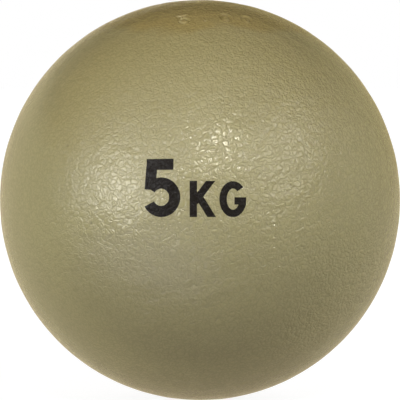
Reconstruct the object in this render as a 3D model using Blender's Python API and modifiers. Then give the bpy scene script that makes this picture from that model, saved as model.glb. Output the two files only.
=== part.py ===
"""Practice shot of the 5 kg class: a cast iron ball, bored at the top, leaded to weight and sealed.

Units are metres and +Z is up. The origin is the centre of the ball. +Z is the axis of the bore,
and the side of the ball that carries its mark faces -Y.

From the top of the bore down, its pieces are a cap of putty that is flush with the ball, a screwed
plug with a hexagon socket, a fibre disc, and a lead slug keyed into a groove, on the drilled end.
"""

from math import cos, pi, radians, sin, sqrt, tan

import bmesh
import bpy

# Ball: the rules give this class 100 to 120 mm, and 110 mm is what 5 kg of iron comes to
BALL_DIAMETER = 0.110
BALL_STEPS = 72

# Room that is left between two pieces that touch
FIT_GAP = 0.0003

# Spot face at the mouth of the bore, as deep as this at its rim, and wider than the thread by a margin
SPOT_DEPTH = 0.002
SPOT_MARGIN = 0.001

# Plug: a short set screw, chamfered past the root of its thread, with flanks of 30 degrees
PLUG_LENGTH = 0.012
PLUG_CHAMFER = 0.0012
THREAD_DIAMETER = 0.020
THREAD_PITCH = 0.0025
CREST_WIDTH = THREAD_PITCH / 8
RIDGE_HEIGHT = 0.36 * THREAD_PITCH
FLANK_ANGLE = radians(30)
THREAD_RUNOUT = THREAD_PITCH

# Hexagon socket of the plug
SOCKET_FLATS = 0.010
SOCKET_DEPTH = 0.006

# Fibre disc between the plug and the lead
DISC_THICKNESS = 0.002

# Lead slug, the groove that keys it, and the cone that the drill leaves under it
SLUG_LENGTH = 0.014
KEY_WIDTH = 0.004
KEY_DEPTH = 0.0015
DRILL_HALF_ANGLE = radians(59)

# Facets round the bore and the pieces in it, two of the ball's to each
BORE_STEPS = BALL_STEPS // 2

# How far a cutter runs past the face that it opens, or a joined shape into its neighbour
OVERSHOOT = 0.0005
MERGE_DISTANCE = 0.000005
SHARP_ANGLE = radians(30)

# Radii that follow from the sizes above
BALL_RADIUS = BALL_DIAMETER / 2
THREAD_RADIUS = THREAD_DIAMETER / 2
CORE_RADIUS = THREAD_RADIUS - RIDGE_HEIGHT
BORE_RADIUS = CORE_RADIUS + FIT_GAP
SPOT_RADIUS = THREAD_RADIUS + SPOT_MARGIN
KEY_RADIUS = BORE_RADIUS + KEY_DEPTH
CONE_HEIGHT = BORE_RADIUS / tan(DRILL_HALF_ANGLE)


def sphere_drop(radius):
    """How far the ball's surface lies below its top, at this distance from the axis."""
    return BALL_RADIUS - sqrt(BALL_RADIUS**2 - radius**2)


# Heights measured from the top of the ball, each from the one above it
SPOT_FLOOR = -sphere_drop(SPOT_RADIUS) - SPOT_DEPTH
PLUG_BOTTOM = SPOT_FLOOR - PLUG_LENGTH
DISC_TOP = PLUG_BOTTOM - FIT_GAP
DISC_BOTTOM = DISC_TOP - DISC_THICKNESS
SLUG_TOP = DISC_BOTTOM - FIT_GAP
BORE_BOTTOM = SLUG_TOP - SLUG_LENGTH
KEY_MIDDLE = SLUG_TOP - SLUG_LENGTH / 2

# Painted iron outside, bare metal and fibre within: colour, roughness, metallic
FINISHES = {
    "painted_cast_iron": ((0.36, 0.32, 0.18), 0.48, 0.6),
    "cast_lead": ((0.17, 0.18, 0.20), 0.62, 0.85),
    "vulcanised_fibre": ((0.30, 0.07, 0.045), 0.70, 0.0),
    "blackened_steel": ((0.09, 0.09, 0.10), 0.42, 0.9),
    "painted_putty": ((0.34, 0.31, 0.18), 0.52, 0.5),
}


def clear_scene():
    """Remove whatever objects the scene opened with."""
    for thing in list(bpy.data.objects):
        bpy.data.objects.remove(thing, do_unlink=True)


def new_group(name):
    """A collection of its own, linked to the scene."""
    group = bpy.data.collections.new(name)
    bpy.context.scene.collection.children.link(group)
    return group


def finish_material(name):
    """A Principled material with the named finish's colour, roughness and metallic value."""
    colour, roughness, metallic = FINISHES[name]
    material = bpy.data.materials.new(name)
    material.use_nodes = True
    material.diffuse_color = (*colour, 1.0)
    shader = material.node_tree.nodes["Principled BSDF"]
    shader.inputs["Base Color"].default_value = (*colour, 1.0)
    shader.inputs["Roughness"].default_value = roughness
    shader.inputs["Metallic"].default_value = metallic
    return material


def add_object(name, mesh, group):
    """Put a mesh in the scene as an object of this name."""
    thing = bpy.data.objects.new(name, mesh)
    group.objects.link(thing)
    return thing


def turned(name, profile, steps, group):
    """A turned solid: the profile, (radius, height) points from the top axis point down to the lower
    one, is carried round Z."""
    mesh = bpy.data.meshes.new(name)
    points = [(radius, 0.0, height) for radius, height in profile]
    edges = [(i, i + 1) for i in range(len(points) - 1)]
    mesh.from_pydata(points, edges, [])
    thing = add_object(name, mesh, group)
    screw = thing.modifiers.new("turn", "SCREW")
    screw.axis = "Z"
    screw.angle = 2 * pi
    screw.steps = steps
    screw.render_steps = steps
    screw.use_merge_vertices = True
    screw.merge_threshold = MERGE_DISTANCE
    return thing


def hexagon(name, flats, top, bottom, group):
    """A hexagonal bar between two heights, with this size across its flats."""
    mesh = bpy.data.meshes.new(name)
    shape = bmesh.new()
    corner_radius = flats / 2 / cos(pi / 6)
    bmesh.ops.create_cone(
        shape, cap_ends=True, segments=6, radius1=corner_radius, radius2=corner_radius, depth=top - bottom
    )
    bmesh.ops.translate(shape, verts=shape.verts, vec=(0.0, 0.0, (top + bottom) / 2))
    shape.to_mesh(mesh)
    shape.free()
    return add_object(name, mesh, group)


def ridge_half_width(radius, growth):
    """Half the ridge's width at a radius, with both flanks moved out by the growth."""
    return CREST_WIDTH / 2 + (THREAD_RADIUS - radius) * tan(FLANK_ANGLE) + growth / cos(FLANK_ANGLE)


def thread_ridge(name, inner_radius, growth, bottom, group):
    """The ridge of a right-hand thread, from a turn above the spot face down past the height asked for.

    A trapezium is carried down a helix. The plug's ridge and the groove that takes it start at the
    same point, so that they stay in mesh at every size. Its sections lie halfway along the facets
    of the bore, where the two shapes cross cleanly.
    """
    outer_radius = THREAD_RADIUS + growth
    inner_half = ridge_half_width(inner_radius, growth)
    outer_half = ridge_half_width(outer_radius, growth)
    top = SPOT_FLOOR + THREAD_PITCH
    steps = round((top - bottom) / THREAD_PITCH * BORE_STEPS)
    corners = (
        (inner_radius, inner_half),
        (outer_radius, outer_half),
        (outer_radius, -outer_half),
        (inner_radius, -inner_half),
    )
    mesh = bpy.data.meshes.new(name)
    shape = bmesh.new()
    outline = shape.faces.new([shape.verts.new((radius, 0.0, top + rise)) for radius, rise in corners])
    bmesh.ops.spin(
        shape,
        geom=[outline, *outline.edges, *outline.verts],
        cent=(0.0, 0.0, 0.0),
        axis=(0.0, 0.0, 1.0),
        dvec=(0.0, 0.0, -THREAD_PITCH / BORE_STEPS),
        angle=-2 * pi * steps / BORE_STEPS,
        steps=steps,
    )
    bmesh.ops.recalc_face_normals(shape, faces=shape.faces)
    shape.to_mesh(mesh)
    shape.free()
    ridge = add_object(name, mesh, group)
    ridge.rotation_euler.z = pi / BORE_STEPS
    return ridge


def combine(piece, operation, tool):
    """Cut, join or trim a piece with another object."""
    step = piece.modifiers.new(tool.name, "BOOLEAN")
    step.operation = operation
    step.object = tool


def hang_from(mouth, *things):
    """Place things in the bore: their heights are measured from the empty at its mouth."""
    for thing in things:
        thing.parent = mouth


def make_ball(parts):
    """The ball before it is bored: half a circle of the ball's radius, turned."""
    arcs = BALL_STEPS // 2
    profile = [(0.0, BALL_RADIUS)]
    for i in range(1, arcs):
        angle = pi * i / arcs
        profile.append((BALL_RADIUS * sin(angle), BALL_RADIUS * cos(angle)))
    profile.append((0.0, -BALL_RADIUS))
    return turned("cast_body", profile, BALL_STEPS, parts)


def make_bore_cutter(cutters):
    """What is bored out of the ball: spot face, tapping bore, key groove and drilled cone."""
    profile = [
        (0.0, OVERSHOOT),
        (SPOT_RADIUS, OVERSHOOT),
        (SPOT_RADIUS, SPOT_FLOOR),
        (BORE_RADIUS, SPOT_FLOOR),
        (BORE_RADIUS, KEY_MIDDLE + KEY_WIDTH / 2),
        (KEY_RADIUS, KEY_MIDDLE + KEY_WIDTH / 2),
        (KEY_RADIUS, KEY_MIDDLE - KEY_WIDTH / 2),
        (BORE_RADIUS, KEY_MIDDLE - KEY_WIDTH / 2),
        (BORE_RADIUS, BORE_BOTTOM),
        (0.0, BORE_BOTTOM - CONE_HEIGHT),
    ]
    return turned("bore_cutter", profile, BORE_STEPS, cutters)


def make_slug(parts):
    """The lead: the bore's own shape drawn in by the gap on every side, with a flat top."""
    radius = BORE_RADIUS - FIT_GAP
    rib_radius = KEY_RADIUS - FIT_GAP
    rib_half = KEY_WIDTH / 2 - FIT_GAP
    cone_lift = FIT_GAP / sin(DRILL_HALF_ANGLE)
    shoulder = BORE_BOTTOM - FIT_GAP / tan(DRILL_HALF_ANGLE) + cone_lift
    tip = BORE_BOTTOM - CONE_HEIGHT + cone_lift
    profile = [
        (0.0, SLUG_TOP),
        (radius, SLUG_TOP),
        (radius, KEY_MIDDLE + rib_half),
        (rib_radius, KEY_MIDDLE + rib_half),
        (rib_radius, KEY_MIDDLE - rib_half),
        (radius, KEY_MIDDLE - rib_half),
        (radius, shoulder),
        (0.0, tip),
    ]
    return turned("lead_ballast", profile, BORE_STEPS, parts)


def make_disc(parts):
    """The fibre disc that the plug presses on the lead."""
    radius = BORE_RADIUS - FIT_GAP
    profile = [(0.0, DISC_TOP), (radius, DISC_TOP), (radius, DISC_BOTTOM), (0.0, DISC_BOTTOM)]
    return turned("packing_disc", profile, BORE_STEPS, parts)


def make_plug(mouth, parts, cutters):
    """The plug: a core and its ridge, trimmed to length with both ends chamfered, and its socket."""
    core_profile = [
        (0.0, SPOT_FLOOR + OVERSHOOT),
        (CORE_RADIUS, SPOT_FLOOR + OVERSHOOT),
        (CORE_RADIUS, PLUG_BOTTOM - OVERSHOOT),
        (0.0, PLUG_BOTTOM - OVERSHOOT),
    ]
    plug = turned("threaded_plug", core_profile, BORE_STEPS, parts)
    bottom = PLUG_BOTTOM - THREAD_PITCH
    ridge = thread_ridge("plug_ridge", CORE_RADIUS - OVERSHOOT, 0.0, bottom, cutters)
    blank_radius = THREAD_RADIUS + OVERSHOOT
    end_radius = THREAD_RADIUS - PLUG_CHAMFER
    chamfer = PLUG_CHAMFER + OVERSHOOT
    blank_profile = [
        (0.0, SPOT_FLOOR),
        (end_radius, SPOT_FLOOR),
        (blank_radius, SPOT_FLOOR - chamfer),
        (blank_radius, PLUG_BOTTOM + chamfer),
        (end_radius, PLUG_BOTTOM),
        (0.0, PLUG_BOTTOM),
    ]
    blank = turned("plug_blank", blank_profile, BORE_STEPS, cutters)
    socket_floor = SPOT_FLOOR - SOCKET_DEPTH
    socket = hexagon("socket_cutter", SOCKET_FLATS, SPOT_FLOOR + 2 * OVERSHOOT, socket_floor, cutters)
    combine(plug, "UNION", ridge)
    combine(plug, "INTERSECT", blank)
    combine(plug, "DIFFERENCE", socket)
    hang_from(mouth, plug, ridge, blank, socket)
    return plug


def make_filler(mouth, parts, cutters):
    """The putty: a cap that fills the spot face flush with the ball, and a stub that fills the socket."""
    radius = SPOT_RADIUS - FIT_GAP
    floor = SPOT_FLOOR + FIT_GAP
    rings = 4
    profile = [(radius * i / rings, -sphere_drop(radius * i / rings)) for i in range(rings + 1)]
    profile += [(radius, floor), (0.0, floor)]
    filler = turned("plug_filler", profile, BORE_STEPS, parts)
    stub_floor = SPOT_FLOOR - SOCKET_DEPTH + FIT_GAP
    stub = hexagon("filler_stub", SOCKET_FLATS - 2 * FIT_GAP, floor + OVERSHOOT, stub_floor, cutters)
    combine(filler, "UNION", stub)
    hang_from(mouth, filler, stub)
    return filler


def settle(piece, material):
    """Turn a piece's modifiers into mesh, shade it smooth between its real edges, and finish it."""
    graph = bpy.context.evaluated_depsgraph_get()
    sketch = piece.data
    mesh = bpy.data.meshes.new_from_object(piece.evaluated_get(graph))
    piece.modifiers.clear()
    piece.data = mesh
    bpy.data.meshes.remove(sketch)
    mesh.name = piece.name
    mesh.materials.clear()
    mesh.materials.append(material)
    mesh.shade_smooth()
    mesh.set_sharp_from_angle(angle=SHARP_ANGLE)


def main():
    clear_scene()
    parts = new_group("shot_put")
    cutters = new_group("shot_put_cutters")

    # The bore is turned by half a facet of the ball, so that no edge of it runs along one of the ball's
    mouth = bpy.data.objects.new("bore_mouth", None)
    mouth.location = (0.0, 0.0, BALL_RADIUS)
    mouth.rotation_euler.z = pi / BALL_STEPS
    parts.objects.link(mouth)

    body = make_ball(parts)
    bore = make_bore_cutter(cutters)
    groove_bottom = PLUG_BOTTOM - THREAD_RUNOUT
    groove = thread_ridge("groove_cutter", BORE_RADIUS - OVERSHOOT, FIT_GAP, groove_bottom, cutters)
    combine(body, "DIFFERENCE", bore)
    combine(body, "DIFFERENCE", groove)

    slug = make_slug(parts)
    disc = make_disc(parts)
    hang_from(mouth, bore, groove, slug, disc)
    plug = make_plug(mouth, parts, cutters)
    filler = make_filler(mouth, parts, cutters)

    bpy.context.view_layer.update()
    settle(body, finish_material("painted_cast_iron"))
    settle(slug, finish_material("cast_lead"))
    settle(disc, finish_material("vulcanised_fibre"))
    settle(plug, finish_material("blackened_steel"))
    settle(filler, finish_material("painted_putty"))

    for cutter in cutters.objects:
        cutter.hide_render = True
        cutter.display_type = "WIRE"


main()
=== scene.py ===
"""Looks of a painted iron practice shot of the 5 kg class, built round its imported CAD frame.

The ball is a sand casting in satin olive-gold enamel. Its weight is printed on the side that faces
the camera, and struck into the iron beside the plug at the top. Lengths are in metres, with +Z up and
the ball's centre at the origin.
"""

from __future__ import annotations

import logging
import math
from dataclasses import dataclass
from enum import Enum
from typing import Callable, Iterable, Mapping, Sequence

import bpy
import numpy as np
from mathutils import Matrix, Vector

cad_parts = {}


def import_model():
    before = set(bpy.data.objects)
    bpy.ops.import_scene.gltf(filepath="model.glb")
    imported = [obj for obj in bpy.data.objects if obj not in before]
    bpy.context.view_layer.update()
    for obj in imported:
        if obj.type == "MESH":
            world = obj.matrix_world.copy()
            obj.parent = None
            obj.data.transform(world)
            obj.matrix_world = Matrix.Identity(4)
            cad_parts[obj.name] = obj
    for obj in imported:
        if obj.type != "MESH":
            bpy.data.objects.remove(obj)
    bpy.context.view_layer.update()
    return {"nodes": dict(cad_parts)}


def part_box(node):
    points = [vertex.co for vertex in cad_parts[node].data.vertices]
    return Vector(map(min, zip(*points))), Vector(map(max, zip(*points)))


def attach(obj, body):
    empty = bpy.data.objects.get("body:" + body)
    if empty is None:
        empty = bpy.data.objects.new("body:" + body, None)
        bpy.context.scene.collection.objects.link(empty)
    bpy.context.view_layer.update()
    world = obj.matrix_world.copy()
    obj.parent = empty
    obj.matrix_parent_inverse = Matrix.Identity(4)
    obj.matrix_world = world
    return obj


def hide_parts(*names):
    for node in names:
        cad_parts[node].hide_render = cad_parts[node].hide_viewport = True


LOG = logging.getLogger("shot_put")

Array = np.ndarray
Colour = tuple[float, float, float]
Spot = tuple[float, float, float]
Point = tuple[float, float]
Face = list[int]
Object = bpy.types.Object
Tree = bpy.types.NodeTree
Node = bpy.types.Node
Socket = bpy.types.NodeSocket
Material = bpy.types.Material

MM = 0.001
BODY = "root"
WHITE = (1.0, 1.0, 1.0)

# Places at which the spacing of a grid is summed
FINE_LINES = 8001

# Facets whose edges turn by more than this are shaded with a crease
CREASE = math.radians(50)


# Arrays and meshes


def unit(vectors: Array) -> Array:
    """Scale vectors to a length of one."""
    return vectors / np.linalg.norm(vectors, axis=-1, keepdims=True)


def outward(bearing: float, rise: float) -> Array:
    """Direction from the ball's centre, by bearing from the camera's side and rise in degrees."""
    around, up = math.radians(bearing), math.radians(rise)
    return np.array([math.sin(around) * math.cos(up), -math.cos(around) * math.cos(up), math.sin(up)])


def window(where: Array, start: float, end: float, edge: float) -> Array:
    """A window that is one from start to end: half the difference of two hyperbolic tangents."""
    return (np.tanh((where - start) / edge) - np.tanh((where - end) / edge)) / 2


def grid_lines(start: float, end: float, spacing: Callable[[Array], Array], multiple: int = 1) -> Array:
    """Lines of a grid that stand closer where there is more to show.

    One over the spacing is summed from the start, and the lines stand where that sum has grown by
    equal steps.

    Args:
        start: the first line.
        end: the last line.
        spacing: gives the spacing that is wanted at each place.
        multiple: the number of steps between the lines is a multiple of this.

    Returns:
        The places of the lines, both ends among them.
    """
    fine = np.linspace(start, end, FINE_LINES)
    density = 1.0 / spacing(fine)
    count = np.concatenate(([0.0], np.cumsum((density[1:] + density[:-1]) / 2 * np.diff(fine))))
    steps = math.ceil(count[-1] / multiple) * multiple
    return np.interp(np.linspace(0.0, count[-1], steps + 1), count, fine)


def ring_faces(first: int, rings: int, columns: int) -> list[Face]:
    """Quads between neighbouring rings of points, out of the solid when the rings run down its outside.

    Args:
        first: number of the first ring's first point.
        rings: how many rings there are.
        columns: how many points a ring has.

    Returns:
        The faces as lists of point numbers.
    """
    here = np.arange(columns)
    ahead = (here + 1) % columns
    ring = first + np.arange(rings - 1)[:, None] * columns
    quads = np.stack([ring + here, ring + columns + here, ring + columns + ahead, ring + ahead], axis=-1)
    return quads.reshape(-1, 4).tolist()


def fan_faces(pole: int, first: int, columns: int, pole_leads: bool) -> list[Face]:
    """Triangles from a point on the axis to a ring.

    Args:
        pole: number of the point on the axis.
        first: number of the ring's first point.
        columns: how many points the ring has.
        pole_leads: whether the point comes before the ring, and not after it.

    Returns:
        The faces as lists of point numbers.
    """
    here = first + np.arange(columns)
    ahead = first + (np.arange(columns) + 1) % columns
    middle = np.full(columns, pole)
    order = [middle, here, ahead] if pole_leads else [here, middle, ahead]
    return np.stack(order, axis=-1).tolist()


def seam_faces(coarse: int, columns: int, fine: int, share: int) -> list[Face]:
    """Faces between a coarse ring and a finer one that follows it.

    Args:
        coarse: number of the coarse ring's first point.
        columns: how many points it has.
        fine: number of the fine ring's first point.
        share: how many steps of the fine ring go to one of the coarse ring.

    Returns:
        One face for each step of the coarse ring.
    """
    here = np.arange(columns)[:, None]
    along = (here * share + np.arange(share + 1)) % (columns * share)
    return np.concatenate([coarse + here, fine + along, coarse + (here + 1) % columns], axis=1).tolist()


def tube_faces(first: int, sections: int, corners: int) -> list[Face]:
    """Faces of a closed bar: its sides from section to section, and a flat face at either end.

    Args:
        first: number of the first section's first point.
        sections: how many cross-sections the bar has.
        corners: how many points a cross-section has.

    Returns:
        The faces as lists of point numbers.
    """
    sides = np.array(ring_faces(first, sections, corners))[:, [0, 3, 2, 1]]
    here = np.arange(first, first + corners)
    return sides.tolist() + [here[::-1].tolist(), (here + (sections - 1) * corners).tolist()]


def turned_points(turn: Array, radius: Array | float, height: Array | float) -> Array:
    """Points at angles round the axis: a ring, or a ring for each distance and height in a column."""
    grid = [radius * np.cos(turn), radius * np.sin(turn), height * np.ones_like(turn)]
    return np.stack(grid, axis=-1).reshape(-1, 3)


def node_points(node: Object) -> Array:
    """Read the points of a CAD node.

    Args:
        node: the node.

    Returns:
        Its points, one to a row.
    """
    flat = np.empty(len(node.data.vertices) * 3)
    node.data.vertices.foreach_get("co", flat)
    return flat.reshape(-1, 3)


def new_object(name: str, data: bpy.types.ID, place_at: Array | None = None) -> Object:
    """Put an object in the scene.

    Args:
        name: its name.
        data: its mesh, lamp or camera.
        place_at: where it is, if its -Z axis is to look from there at the ball's centre.

    Returns:
        The object.
    """
    thing = bpy.data.objects.new(name, data)
    bpy.context.scene.collection.objects.link(thing)
    if place_at is not None:
        thing.location = place_at
        thing.rotation_euler = Vector(place_at).to_track_quat("Z", "Y").to_euler()
    return thing


def new_piece(name: str, points: Array, faces: list[Face], material: Material) -> Object:
    """Make a piece that rides on the ball, with its place in its mesh.

    Args:
        name: the piece's name.
        points: its points, one to a row.
        faces: its faces, as lists of point numbers.
        material: its finish.

    Returns:
        The piece's object.
    """
    mesh = bpy.data.meshes.new(name)
    mesh.from_pydata(points.tolist(), [], faces)
    mesh.materials.append(material)
    mesh.shade_smooth()
    mesh.set_sharp_from_angle(angle=CREASE)
    mesh.validate()
    piece = new_object(name, mesh)
    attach(piece, BODY)
    LOG.info("%s: %d points, %d triangles", name, len(points), sum(len(face) - 2 for face in faces))
    return piece


# Shader nodes


def feed(tree: Tree, socket: Socket, value: object) -> None:
    """Give a socket what it gets.

    Args:
        tree: the tree that it is in.
        socket: the socket.
        value: a value, where a colour gets its alpha, or the socket that feeds it.
    """
    if isinstance(value, Socket):
        tree.links.new(value, socket)
    elif socket.type == "RGBA":
        socket.default_value = (*value, 1.0)
    else:
        socket.default_value = value


def place(tree: Tree, kind: str, inputs: dict | None = None, **settings: object) -> Node:
    """Put a node in a tree, set it and feed it.

    Args:
        tree: the material's or group's tree.
        kind: the node's type, without "ShaderNode" in front.
        inputs: what each input gets, by name or number: a value, or the socket that feeds it.
        settings: the node's own properties.

    Returns:
        The node.
    """
    node = tree.nodes.new("ShaderNode" + kind)
    for name, value in settings.items():
        setattr(node, name, value)
    for name, value in (inputs or {}).items():
        feed(tree, node.inputs[name], value)
    return node


def math_node(tree: Tree, operation: str, *values: object) -> Socket:
    """Join a Math node to its values and give its output."""
    return place(tree, "Math", dict(enumerate(values)), operation=operation).outputs[0]


def noise(tree: Tree, where: Socket, scale: object, detail: float, roughness: float = 0.5) -> Node:
    """Put in a noise, its scale given in grains to a metre."""
    inputs = {"Vector": where, "Scale": scale, "Detail": detail, "Roughness": roughness}
    return place(tree, "TexNoise", inputs)


def mapped(tree: Tree, value: Socket, given: Sequence, wanted: Sequence, smooth: bool = False) -> Socket:
    """Carry a value from one range to another and keep it there.

    Args:
        tree: the material's or group's tree.
        value: what is carried.
        given: the two ends of its own range, numbers or sockets.
        wanted: what they become.
        smooth: whether it goes from one to the other as a smooth step.

    Returns:
        The value in its new range.
    """
    ends = dict(zip(("From Min", "From Max", "To Min", "To Max"), (*given, *wanted)))
    kind = "SMOOTHSTEP" if smooth else "LINEAR"
    return place(tree, "MapRange", {"Value": value, **ends}, interpolation_type=kind).outputs[0]


class Effect(Enum):
    """Surface effects that several finishes share, each a node group that is built once."""

    PEEL = "orange_peel"
    PATINA = "patina"
    PITS = "casting_pits"
    SPOT = "round_spot"

    def tree(self) -> Tree:
        """The effect's node group, built the first time that it is asked for."""
        if self.value not in bpy.data.node_groups:
            EFFECT_BUILDERS[self]()
        return bpy.data.node_groups[self.value]

    def add(self, tree: Tree, **inputs: object) -> Node:
        """Put the effect in a material.

        Args:
            tree: the material's tree.
            inputs: what its inputs get, by name, with _ for a space.

        Returns:
            The group node.
        """
        node = tree.nodes.new("ShaderNodeGroup")
        node.node_tree = self.tree()
        for name, value in inputs.items():
            feed(tree, node.inputs[name.replace("_", " ")], value)
        return node


def new_group(
    effect: Effect, inputs: Mapping[str, float | None], outputs: Sequence[str]
) -> tuple[Tree, Mapping[str, Socket], Mapping[str, Socket]]:
    """Start the node group of an effect, which reads a place and puts out values.

    Args:
        effect: the effect.
        inputs: the names of its other inputs, with the value that each has, or None for a vector.
        outputs: the names of its outputs.

    Returns:
        The group's tree, the sockets that give its inputs, and those that take its outputs.
    """
    tree = bpy.data.node_groups.new(effect.value, "ShaderNodeTree")
    for title, value in {"Place": None, **inputs}.items():
        kind = "NodeSocketVector" if value is None else "NodeSocketFloat"
        socket = tree.interface.new_socket(title, in_out="INPUT", socket_type=kind)
        if value is not None:
            socket.default_value = value
    for title in outputs:
        tree.interface.new_socket(title, in_out="OUTPUT", socket_type="NodeSocketFloat")
    given, out = tree.nodes.new("NodeGroupInput"), tree.nodes.new("NodeGroupOutput")
    return tree, given.outputs, out.inputs


# Orange peel, in lumps: how far their outlines wander, and how wide a furrow is. Then how many times
# finer than the lumps the grain is, and how many times broader the swells are
LUMP_WANDER, FURROW_WIDTH = 1.5, 0.16
GRAIN_FINER, SWELL_BROADER = 1.7, 3.0

# What a noise gives almost everywhere, and the range in which unevenness is told
NOISE_RANGE, UNEVEN = (0.3, 0.7), (-1.0, 1.0)


def build_peel() -> None:
    """Orange peel: low domes whose outlines wander, with narrow furrows between them and grain over all.

    The place is shifted by a slow noise, so that the cells aren't regular. The dome is one less the
    smooth distance to the cell's middle, and the furrow is a smooth step over the distance to its edge.
    Swells a few lumps wide lie under both.
    """
    inputs = {"Lumps Per Metre": 900.0, "Furrow Share": 0.3, "Grain Share": 0.4, "Swell Share": 0.0}
    tree, given, out = new_group(Effect.PEEL, inputs, ["Height", "Furrow"])
    where, lumps = given["Place"], given["Lumps Per Metre"]
    drift = noise(tree, where, lumps, 0.0).outputs["Color"]
    pushed = place(tree, "VectorMath", {0: drift, 1: (0.5, 0.5, 0.5)}, operation="SUBTRACT")
    reach = math_node(tree, "DIVIDE", LUMP_WANDER, lumps)
    shift = place(tree, "VectorMath", {0: pushed.outputs[0], "Scale": reach}, operation="SCALE")
    moved = place(tree, "VectorMath", {0: where, 1: shift.outputs[0]}, operation="ADD").outputs[0]
    inputs = {"Vector": moved, "Scale": lumps, "Smoothness": 0.7}
    cells = place(tree, "TexVoronoi", inputs, feature="SMOOTH_F1")
    edges = place(tree, "TexVoronoi", {"Vector": moved, "Scale": lumps}, feature="DISTANCE_TO_EDGE")
    furrow = mapped(tree, edges.outputs["Distance"], (0.0, FURROW_WIDTH), (1.0, 0.0), smooth=True)
    dome = math_node(tree, "SUBTRACT", 1.0, cells.outputs["Distance"])
    dome = math_node(tree, "SUBTRACT", dome, math_node(tree, "MULTIPLY", furrow, given["Furrow Share"]))
    grain = noise(tree, where, math_node(tree, "MULTIPLY", lumps, GRAIN_FINER), 2.0, 0.55).outputs[0]
    swell = noise(tree, where, math_node(tree, "DIVIDE", lumps, SWELL_BROADER), 1.0).outputs[0]
    rough = math_node(tree, "MULTIPLY", grain, given["Grain Share"])
    rough = math_node(tree, "MULTIPLY_ADD", swell, given["Swell Share"], rough)
    tree.links.new(math_node(tree, "ADD", dome, rough), out["Height"])
    tree.links.new(furrow, out["Furrow"])


def build_patina() -> None:
    """Patina: unevenness of colour and gloss in two sizes, from -1 to 1 round the middle."""
    inputs = {"Clouds Per Metre": 40.0, "Speckle Per Metre": 700.0}
    tree, given, out = new_group(Effect.PATINA, inputs, ["Clouds", "Speckle"])
    for title, detail in (("Clouds", 2.0), ("Speckle", 3.0)):
        found = noise(tree, given["Place"], given[title + " Per Metre"], detail, 0.6).outputs[0]
        tree.links.new(mapped(tree, found, NOISE_RANGE, UNEVEN), out[title])


def build_pits() -> None:
    """Pits: small round holes in a few of many cells.

    Each cell of a Voronoi pattern has its own random value, and only cells above the rarity hold a
    pit, as deep as one less the squared distance from the cell's middle over the pit's size.
    """
    inputs = {"Cells Per Metre": 160.0, "Pit Size": 0.1, "Rarity": 0.8}
    tree, given, out = new_group(Effect.PITS, inputs, ["Depth"])
    cells = place(tree, "TexVoronoi", {"Vector": given["Place"], "Scale": given["Cells Per Metre"]})
    chance = place(tree, "SeparateColor", {"Color": cells.outputs["Color"]})
    chosen = math_node(tree, "GREATER_THAN", chance.outputs["Red"], given["Rarity"])
    variety = math_node(tree, "ADD", chance.outputs["Green"], 0.5)
    own_size = math_node(tree, "MULTIPLY", given["Pit Size"], variety)
    share = math_node(tree, "DIVIDE", cells.outputs["Distance"], own_size)
    bowl = math_node(tree, "SUBTRACT", 1.0, math_node(tree, "POWER", share, 2.0))
    bowl = math_node(tree, "MAXIMUM", bowl, 0.0)
    tree.links.new(math_node(tree, "MULTIPLY", bowl, chosen), out["Depth"])


def build_spot() -> None:
    """A round spot: one at its middle, and smoothly nothing at its size away from it."""
    tree, given, out = new_group(Effect.SPOT, {"Middle": None, "Size": 0.0008}, ["Share"])
    away = place(tree, "VectorMath", {0: given["Place"], 1: given["Middle"]}, operation="DISTANCE")
    share = mapped(tree, away.outputs["Value"], (0.0, given["Size"]), (1.0, 0.0), smooth=True)
    tree.links.new(share, out["Share"])


EFFECT_BUILDERS = {
    Effect.PEEL: build_peel,
    Effect.PATINA: build_patina,
    Effect.PITS: build_pits,
    Effect.SPOT: build_spot,
}


def blend_colours(tree: Tree, share: Socket, low: Colour | Socket, high: Colour | Socket) -> Socket:
    """Mix two colours by a share, either of them given or fed."""
    inputs = {0: share, 6: low, 7: high}
    return place(tree, "Mix", inputs, data_type="RGBA", clamp_factor=True).outputs[2]


def pit_depths(tree: Tree, where: Socket, per_metre: float, size: float, rarity: float) -> Socket:
    """Depth of the pits at a place, with their size in cells and the share of cells that hold none."""
    pits = Effect.PITS.add(tree, Place=where, Cells_Per_Metre=per_metre, Pit_Size=size, Rarity=rarity)
    return pits.outputs["Depth"]


def nearness(tree: Tree, where: Socket, middle: Array, size: float) -> Socket:
    """Nearness to a spot, from nothing at its size away from it to one at its middle."""
    return Effect.SPOT.add(tree, Place=where, Middle=tuple(middle), Size=size).outputs["Share"]


@dataclass(frozen=True)
class Nick:
    """A small nick in the paint, placed by bearing and rise in degrees."""

    bearing: float
    rise: float
    size: float


NICKS = (
    Nick(-41.3, 17.3, 0.8 * MM),
    Nick(29.8, 18.9, 0.9 * MM),
    Nick(-30.8, -3.8, 0.7 * MM),
    Nick(25.4, 6.7, 0.6 * MM),
    Nick(26.4, 6.3, 0.7 * MM),
)


@dataclass(frozen=True)
class PaintedDarkReflection:
    """Painted dark reflection round the top of the ball: a browner tone, with an edge that wanders.

    Its middle lies a little behind the top. Nearness to it falls smoothly from 1 to 0 over the size. The
    edge lies where it is edge_at, and the share of the browner tone crosses it with the slope steepness.
    """

    tone: Colour
    size: float = 55.0 * MM
    edge_at: float = 0.23
    steepness: float = 10.0
    wander: float = 0.1
    bearing: float = 180.0
    rise: float = 78.0

    def covered(self, tree: Tree, where: Socket, clouds: Socket, radius: float) -> Socket:
        """How far the painted dark reflection covers the ball.

        Args:
            tree: the material's tree.
            where: the place on the object.
            clouds: slow unevenness from -1 to 1, which moves the edge.
            radius: the ball's radius.

        Returns:
            The share, from 0 to 1.
        """
        near = nearness(tree, where, radius * outward(self.bearing, self.rise), self.size)
        near = math_node(tree, "MULTIPLY_ADD", clouds, self.wander, near)
        half = 0.5 / self.steepness
        return mapped(tree, near, (self.edge_at - half, self.edge_at + half), (0.0, 1.0), smooth=True)


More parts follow.
